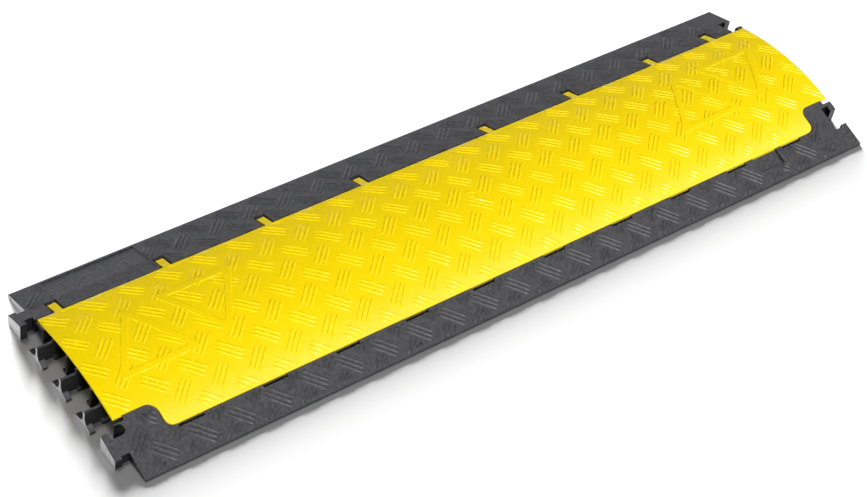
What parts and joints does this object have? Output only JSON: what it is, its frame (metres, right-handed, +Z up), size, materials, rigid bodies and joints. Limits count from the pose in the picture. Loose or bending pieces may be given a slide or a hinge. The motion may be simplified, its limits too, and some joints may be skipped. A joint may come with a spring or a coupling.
{
  "type": "floor cord cover",
  "caption": "Low drive-over cable ramp: dark moulded base with cable channels and end connectors, under a hinged yellow tread lid.",
  "frame": {"origin": "on the floor, at the middle of the whole part seen from above", "axes": "+X along the cover from its T heads to its sockets, +Y towards the hinge side, +Z up"},
  "size_m": [1.0176, 0.28, 0.0326],
  "materials": {
    "dark_plastic": "dark charcoal moulded plastic, satin, fine mottled skin",
    "yellow_plastic": "saturated yellow moulded plastic, satin"
  },
  "bodies": {
    "base": {"channel_base": "dark_plastic"},
    "lid": {"hinged_lid": "yellow_plastic"}
  },
  "joints": [
    {"name": "lid_hinge", "type": "hinge", "parent": "base", "child": "lid", "pos_m": [0, 0.095, 0.01245], "axis": [-1, 0, 0], "range_deg": [0, 105]}
  ]
}
